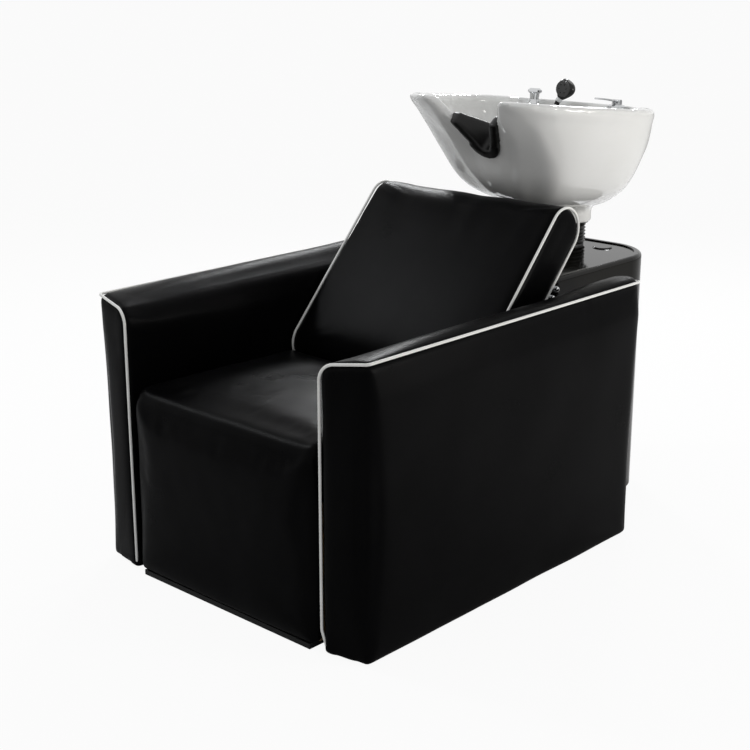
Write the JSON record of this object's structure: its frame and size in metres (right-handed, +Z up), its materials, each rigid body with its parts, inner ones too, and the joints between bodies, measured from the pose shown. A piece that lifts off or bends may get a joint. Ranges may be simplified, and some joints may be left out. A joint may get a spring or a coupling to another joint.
{
  "type": "hair washing bed",
  "caption": "Salon backwash unit: upholstered armchair with piped edges and a reclined backrest, joined to a pedestal that carries a tilting ceramic hair washing bowl.",
  "frame": {"origin": "on the floor, below the centre of the bounding box", "axes": "+X to the sitter's left, +Y from the seat to the bowl at the rear, +Z up"},
  "size_m": [0.7454, 1.188, 0.9373],
  "materials": {
    "vinyl": "satin",
    "piping": "satin",
    "timber": "matte",
    "painted_board": "satin",
    "webbing": "matte",
    "housing": "gloss",
    "nylon": "matte",
    "steel": "satin",
    "chrome": "polished",
    "rubber": "satin",
    "ceramic": "gloss",
    "white_plastic": "gloss",
    "grey_plastic": "satin",
    "brass": "satin",
    "friction_fibre": "matte",
    "black_plastic": "gloss",
    "spray_grey": "satin"
  },
  "bodies": {
    "chair": {"arm_glides": "nylon", "backrest_board": "timber", "backrest_brackets": "chrome", "backrest_cushion": "vinyl", "backrest_piping": "piping", "backrest_screws": "steel", "base_frame": "steel", "bellows": "rubber", "bellows_clamp": "steel", "bracket_bolts": "chrome", "friction_washers": "friction_fibre", "front_board": "timber", "front_plinth": "painted_board", "inlet_fittings": "brass", "left_arm_cover": "vinyl", "left_arm_frame": "timber", "left_arm_piping": "piping", "panel_screws": "chrome", "pedestal_bolts": "steel", "pedestal_plug": "housing", "pedestal_shell": "housing", "right_arm_cover": "vinyl", "right_arm_frame": "timber", "right_arm_piping": "piping", "seat_cushion": "vinyl", "seat_frame": "timber", "seat_webbing": "webbing", "service_panel": "housing", "supply_hoses": "rubber", "tie_bolts": "steel", "tie_rails": "timber", "tilt_base": "steel", "tilt_bolts": "steel", "tilt_pins": "steel", "waste_hose": "grey_plastic", "waste_outlet": "white_plastic"},
    "strainer": {"hair_strainer": "chrome"},
    "cap": {"mixer_cap": "chrome"},
    "lever": {"mixer_lever": "chrome"},
    "spray": {"spray_head": "black_plastic", "spray_face": "spray_grey", "spray_collar": "chrome", "spray_hose_end": "rubber"},
    "bowl_unit": {"bowl": "ceramic", "access_cover": "white_plastic", "drain_flange": "chrome", "drain_seal": "rubber", "drain_nut": "white_plastic", "tailpiece": "white_plastic", "neck_rest": "rubber", "neck_rest_stud": "chrome", "mixer_body": "chrome", "deck_nuts": "steel", "vacuum_breaker": "chrome", "vacuum_breaker_cap": "chrome", "hose_guide": "chrome", "spray_hose": "rubber", "tilt_head": "steel"}
  },
  "joints": [
    {"name": "bowl_tilt", "type": "hinge", "parent": "chair", "child": "bowl_unit", "pos_m": [0, 0.507, 0.59], "axis": [1, 0, 0], "range_deg": [-8, 8], "deforming": ["bellows", "supply_hoses"]},
    {"name": "mixer_turn", "type": "hinge", "parent": "bowl_unit", "child": "cap", "pos_m": [0.099, 0.552, 0.87075], "axis": [0, 0.0941, 0.9956], "range_deg": [-45, 45]},
    {"name": "lever_lift", "type": "hinge", "parent": "cap", "child": "lever", "pos_m": [0.099, 0.5543, 0.89504], "axis": [-1, 0, 0], "range_deg": [0, 25]},
    {"name": "spray_lift", "type": "slide", "parent": "bowl_unit", "child": "spray", "axis": [0, 0.0941, 0.9956], "range_m": [0, 0.04], "deforming": ["spray_hose"]},
    {"name": "strainer_lift", "type": "slide", "parent": "bowl_unit", "child": "strainer", "axis": [0, 0, 1], "range_m": [0, 0.03]}
  ]
}
